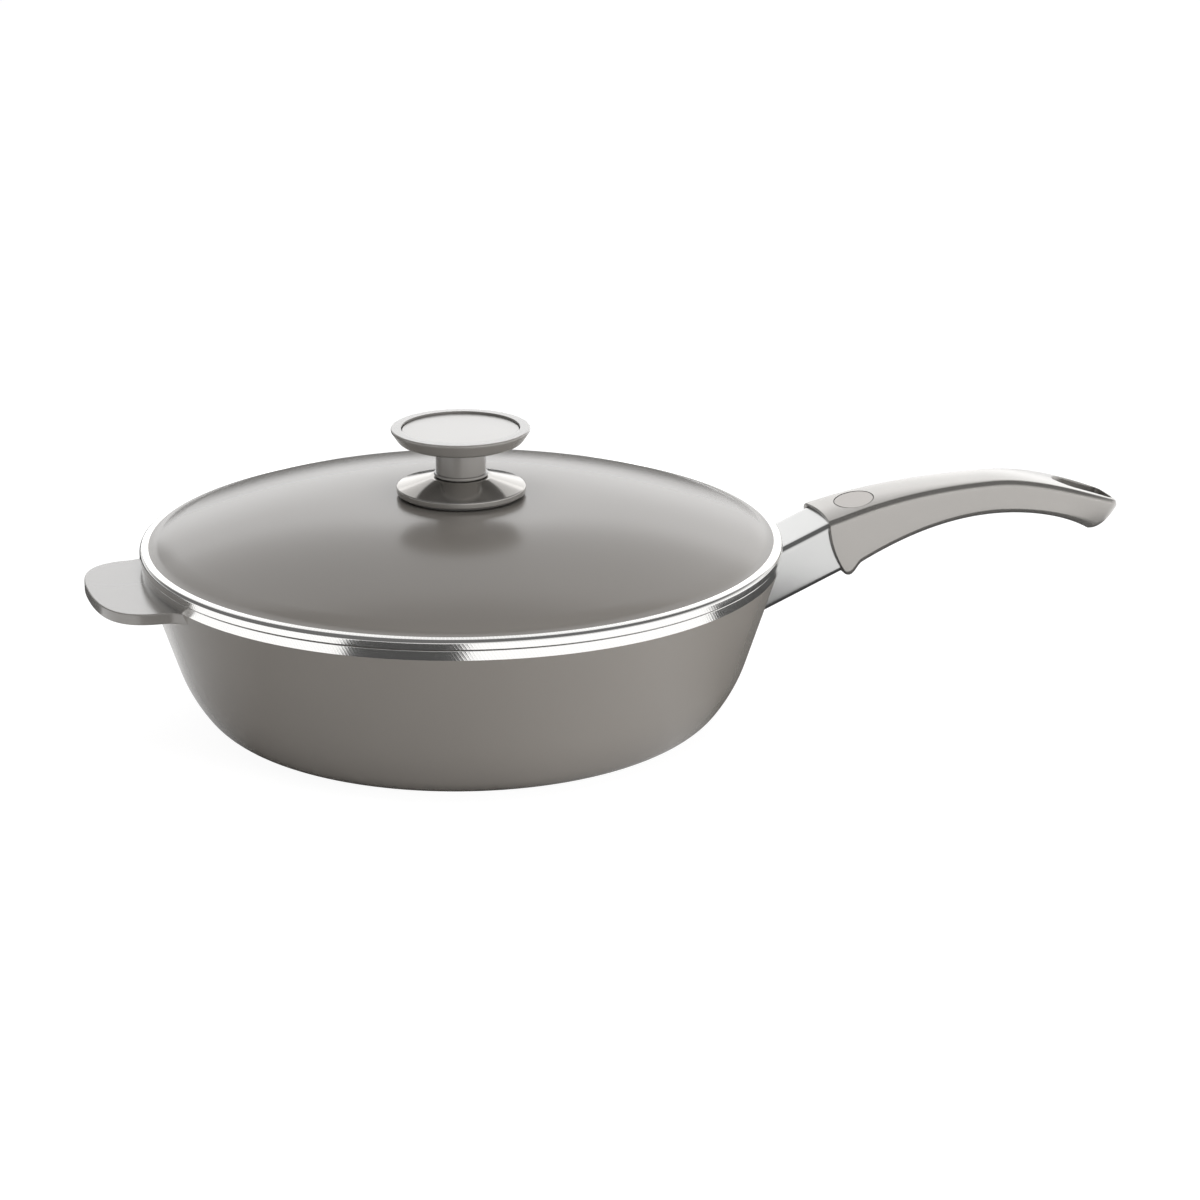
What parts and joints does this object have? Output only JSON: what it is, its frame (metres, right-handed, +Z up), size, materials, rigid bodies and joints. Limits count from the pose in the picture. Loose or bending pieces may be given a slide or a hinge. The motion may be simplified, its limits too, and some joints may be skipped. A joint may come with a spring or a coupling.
{
  "type": "deep frying pan with lid",
  "caption": "Deep cast frying pan with a long arched handle, a helper ear and a domed lift-off lid with a disc knob.",
  "frame": {"origin": "middle of the base's underside, on the surface that the pan stands on", "axes": "+X out along the handle, +Z up along the axis of the pan, the lid and the knob"},
  "size_m": [0.4932, 0.29, 0.1345],
  "materials": {
    "pan_coat": "cast aluminium with a satin taupe coat, the rim band turned bright",
    "lid_coat": "cast aluminium with a satin taupe coat, the edge turned bright",
    "base_steel": "turned steel with shallow rings",
    "guard_metal": "pale satin metal",
    "grip_plastic": "warm grey soft satin",
    "badge_plate": "plain satin plate",
    "screw_steel": "plain bright steel",
    "gasket_rubber": "matt silicone rubber",
    "knob_foot_gloss": "gloss taupe",
    "knob_plastic": "satin taupe",
    "inlay_plate": "pale satin plate",
    "insert_brass": "plain turned brass"
  },
  "bodies": {
    "pan": {"pan_body": "pan_coat", "base_disc": "base_steel", "flame_guard": "guard_metal", "handle_grip": "grip_plastic", "handle_badge": "badge_plate", "grip_screw": "screw_steel", "grip_screw_washer": "screw_steel"},
    "lid": {"lid_shell": "lid_coat", "knob_gasket": "gasket_rubber", "knob_base": "knob_foot_gloss", "knob_body": "knob_plastic", "knob_inlay": "inlay_plate", "knob_insert": "insert_brass", "knob_screw": "screw_steel", "knob_washer": "screw_steel"}
  },
  "joints": [
    {"name": "lid_lift", "type": "slide", "parent": "pan", "child": "lid", "axis": [0, 0, 1], "range_m": [0, 0.15]}
  ]
}
